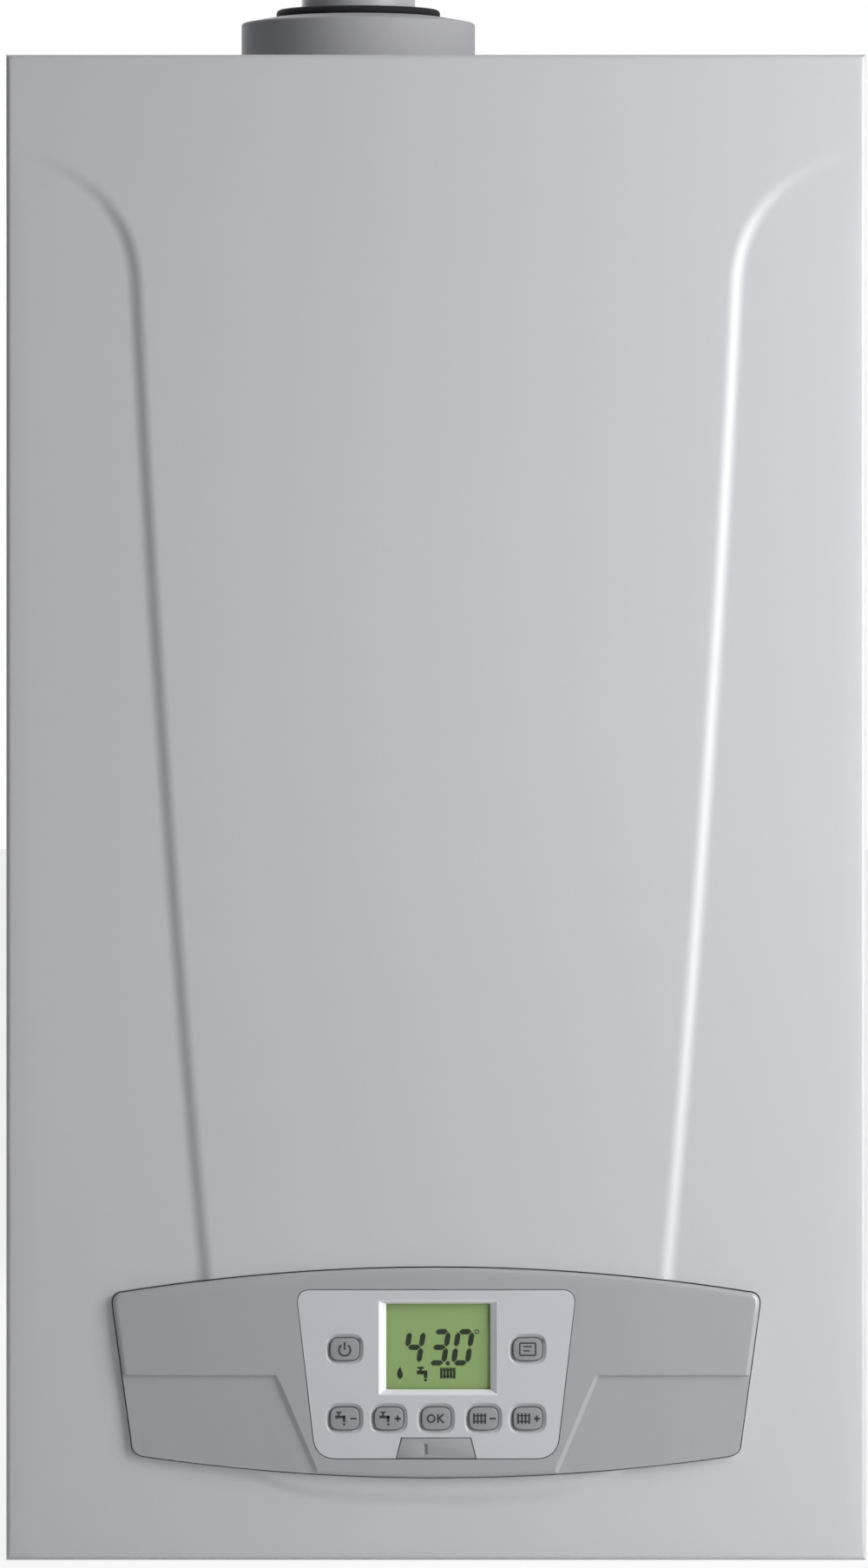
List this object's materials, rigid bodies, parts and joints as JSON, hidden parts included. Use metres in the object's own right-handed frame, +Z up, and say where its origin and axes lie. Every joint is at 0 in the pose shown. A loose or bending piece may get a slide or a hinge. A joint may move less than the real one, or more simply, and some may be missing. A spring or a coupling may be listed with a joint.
{
  "type": "combi boiler",
  "caption": "Wall-hung condensing combi boiler: pressed sheet cover with a raised shield field, tilting control box with keys and display, flue collar on top, pipe stubs below.",
  "frame": {"origin": "middle of the hanging rail, on the wall face of the rear frame", "axes": "+X to the right seen from the front, +Y into the wall, +Z up"},
  "size_m": [0.4, 0.2994, 0.735],
  "materials": {
    "painted": "satin",
    "zinc": "matte",
    "rubber": "matte",
    "fascia": "satin",
    "keypad": "satin",
    "button": "satin",
    "port_cover": "satin",
    "lens": "polished",
    "display": "satin",
    "board": "satin",
    "dark_plastic": "matte",
    "collar": "satin",
    "flue": "satin",
    "stainless": "satin",
    "cast_aluminium": "matte",
    "brass": "satin",
    "copper": "satin",
    "vessel": "satin",
    "white_plastic": "satin",
    "red_plastic": "satin",
    "blue_plastic": "satin"
  },
  "bodies": {
    "casing": {"left_side_panel": "painted", "right_side_panel": "painted", "top_panel": "painted", "rear_frame": "zinc", "bottom_panel": "zinc", "hinge_bracket_left": "zinc", "hinge_bracket_right": "zinc", "cover_seal": "rubber", "adapter_gasket": "rubber", "flue_lip_seal": "rubber", "fan_motor": "dark_plastic", "pump_motor": "dark_plastic", "flue_adapter": "collar", "flue_spigot": "flue", "flue_duct": "flue", "heat_exchanger": "stainless", "burner_tube": "stainless", "plate_heat_exchanger": "stainless", "burner_door": "cast_aluminium", "gas_air_elbow": "cast_aluminium", "fan_housing": "cast_aluminium", "gas_air_mixer": "cast_aluminium", "gas_valve": "cast_aluminium", "left_hydraulic_group": "brass", "right_hydraulic_group": "brass", "pump_body": "brass", "air_vent": "brass", "safety_valve": "brass", "heating_flow_stub": "brass", "hot_water_stub": "brass", "gas_stub": "brass", "cold_water_stub": "brass", "heating_return_stub": "brass", "gas_pipe": "copper", "flow_pipe": "copper", "return_pipe": "copper", "expansion_vessel": "vessel", "ignition_electrode": "white_plastic", "diverter_motor": "white_plastic", "condensate_trap": "white_plastic"},
    "front_cover": {"front_cover": "painted"},
    "control_box": {"fascia": "fascia", "keypad_plate": "keypad", "display_lens": "lens", "display_module": "display", "service_port_cover": "port_cover", "display_board": "board", "main_board": "board", "control_box_housing": "dark_plastic", "control_box_lid": "dark_plastic"},
    "button_left": {"button_left": "button"},
    "button_right": {"button_right": "button"},
    "button_lower_1": {"button_lower_1": "button"},
    "button_lower_2": {"button_lower_2": "button"},
    "button_lower_3": {"button_lower_3": "button"},
    "button_lower_4": {"button_lower_4": "button"},
    "button_lower_5": {"button_lower_5": "button"},
    "fan_rotor": {"fan_impeller": "stainless"},
    "relief_knob": {"safety_valve_knob": "red_plastic"},
    "filling_tap": {"filling_tap": "blue_plastic"}
  },
  "joints": [
    {"name": "cover_removal", "type": "slide", "parent": "casing", "child": "front_cover", "axis": [0, -1, 0], "range_m": [0, 0.3]},
    {"name": "control_box_tilt", "type": "hinge", "parent": "casing", "child": "control_box", "pos_m": [0, -0.279, -0.61], "axis": [1, 0, 0], "range_deg": [0, 90]},
    {"name": "button_left_press", "type": "slide", "parent": "control_box", "child": "button_left", "axis": [0, 1, 0], "range_m": [0, 0.0008], "stiffness_N_per_m": 600, "springref_m": -0.0005},
    {"name": "button_right_press", "type": "slide", "parent": "control_box", "child": "button_right", "axis": [0, 1, 0], "range_m": [0, 0.0008], "stiffness_N_per_m": 600, "springref_m": -0.0005},
    {"name": "button_lower_1_press", "type": "slide", "parent": "control_box", "child": "button_lower_1", "axis": [0, 1, 0], "range_m": [0, 0.0008], "stiffness_N_per_m": 600, "springref_m": -0.0005},
    {"name": "button_lower_2_press", "type": "slide", "parent": "control_box", "child": "button_lower_2", "axis": [0, 1, 0], "range_m": [0, 0.0008], "stiffness_N_per_m": 600, "springref_m": -0.0005},
    {"name": "button_lower_3_press", "type": "slide", "parent": "control_box", "child": "button_lower_3", "axis": [0, 1, 0], "range_m": [0, 0.0008], "stiffness_N_per_m": 600, "springref_m": -0.0005},
    {"name": "button_lower_4_press", "type": "slide", "parent": "control_box", "child": "button_lower_4", "axis": [0, 1, 0], "range_m": [0, 0.0008], "stiffness_N_per_m": 600, "springref_m": -0.0005},
    {"name": "button_lower_5_press", "type": "slide", "parent": "control_box", "child": "button_lower_5", "axis": [0, 1, 0], "range_m": [0, 0.0008], "stiffness_N_per_m": 600, "springref_m": -0.0005},
    {"name": "fan_spin", "type": "hinge", "parent": "casing", "child": "fan_rotor", "pos_m": [0.125, -0.2, -0.345], "axis": [0, 1, 0], "continuous": true},
    {"name": "relief_knob_turn", "type": "hinge", "parent": "casing", "child": "relief_knob", "pos_m": [0.088, -0.17, -0.584], "axis": [0, 1, 0], "range_deg": [0, 90]},
    {"name": "filling_tap_turn", "type": "hinge", "parent": "casing", "child": "filling_tap", "pos_m": [0.0975, -0.1, -0.638], "axis": [0, 0, 1], "range_deg": [0, 360]}
  ],
  "couplings": [
    {"joint": "control_box_tilt", "follows": "cover_removal", "rad_per_m": 5.235}
  ]
}
